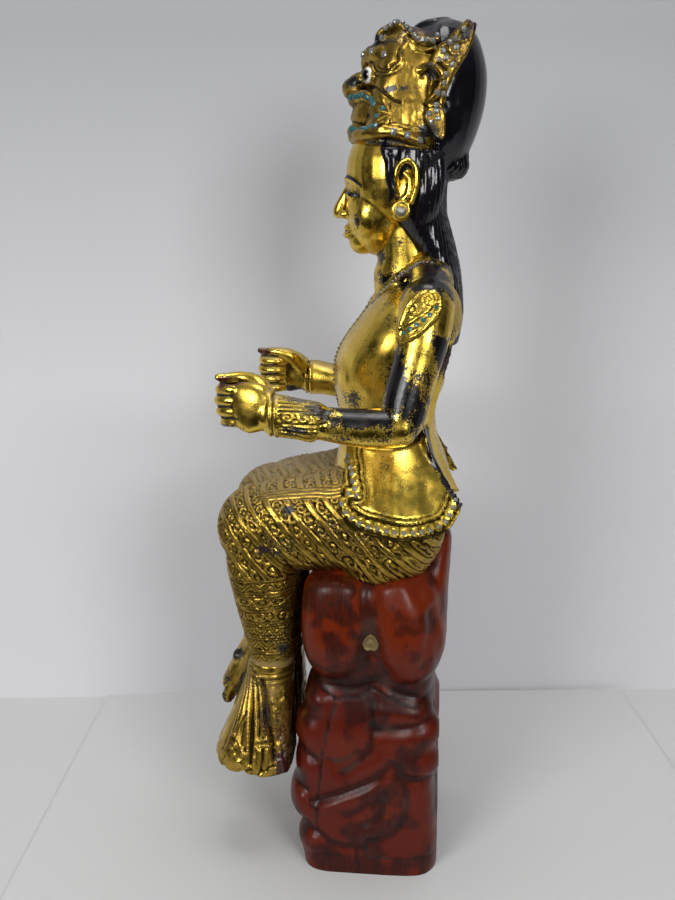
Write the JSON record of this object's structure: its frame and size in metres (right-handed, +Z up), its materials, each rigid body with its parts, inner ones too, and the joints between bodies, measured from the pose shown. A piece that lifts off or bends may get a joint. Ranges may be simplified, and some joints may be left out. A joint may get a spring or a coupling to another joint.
{
  "type": "carved seated nat figure on a rock",
  "caption": "Carved, lacquered and gilded seated nat figure with an ogre-mask crown, both fists held out, on a red-lacquered rock that stands on its flat underside.",
  "frame": {"origin": "middle of the rock's flat underside", "axes": "+Z up; -Y the way the figure faces; +X her left side, the side shown in the picture"},
  "size_m": [0.2845, 0.2527, 0.7975],
  "materials": {
    "gilded_wood": "gold leaf over black and red-brown lacquer, burnished and worn; hair in glossy black lacquer",
    "red_lacquer_wood": "glossy red-brown lacquer with darker blotches, dusty grooves and hairline cracks",
    "mirror_glass": "silvered glass, slightly clouded",
    "turquoise_glass": "opaque blue-green glass, polished",
    "eye_glass": "opaque white glass with a black pupil",
    "leaf_plug_wood": "worn brown gilding"
  },
  "bodies": {
    "root": {"band_stone_1_left": "mirror_glass", "band_stone_1_right": "mirror_glass", "band_stone_2_left": "mirror_glass", "band_stone_2_right": "mirror_glass", "band_stone_3_left": "mirror_glass", "band_stone_3_right": "mirror_glass", "brow_stone_1_left": "mirror_glass", "brow_stone_1_right": "mirror_glass", "brow_stone_2_left": "mirror_glass", "brow_stone_2_right": "mirror_glass", "brow_stone_3_left": "mirror_glass", "brow_stone_3_right": "mirror_glass", "ear_stud_left": "mirror_glass", "ear_stud_right": "mirror_glass", "figure": "gilded_wood", "flap_stone_1_left": "mirror_glass", "flap_stone_1_right": "mirror_glass", "flap_stone_2_left": "mirror_glass", "flap_stone_2_right": "mirror_glass", "flap_stone_3_left": "mirror_glass", "flap_stone_3_right": "mirror_glass", "flap_stone_4_left": "mirror_glass", "flap_stone_4_right": "mirror_glass", "leaf_plug": "leaf_plug_wood", "lip_stone_1_left": "turquoise_glass", "lip_stone_1_right": "turquoise_glass", "lip_stone_2_left": "turquoise_glass", "lip_stone_2_right": "turquoise_glass", "lip_stone_3_left": "turquoise_glass", "lip_stone_3_right": "turquoise_glass", "lip_stone_4_left": "turquoise_glass", "lip_stone_4_right": "turquoise_glass", "lip_stone_5_left": "turquoise_glass", "lip_stone_5_right": "turquoise_glass", "lip_stone_6_left": "turquoise_glass", "lip_stone_6_right": "turquoise_glass", "lip_stone_7_left": "turquoise_glass", "lip_stone_7_right": "turquoise_glass", "lip_stone_8_left": "turquoise_glass", "lip_stone_8_right": "turquoise_glass", "lip_stone_9_left": "turquoise_glass", "lip_stone_9_right": "turquoise_glass", "ogre_eye_left": "eye_glass", "ogre_eye_right": "eye_glass", "rock_seat": "red_lacquer_wood"}
  },
  "joints": []
}
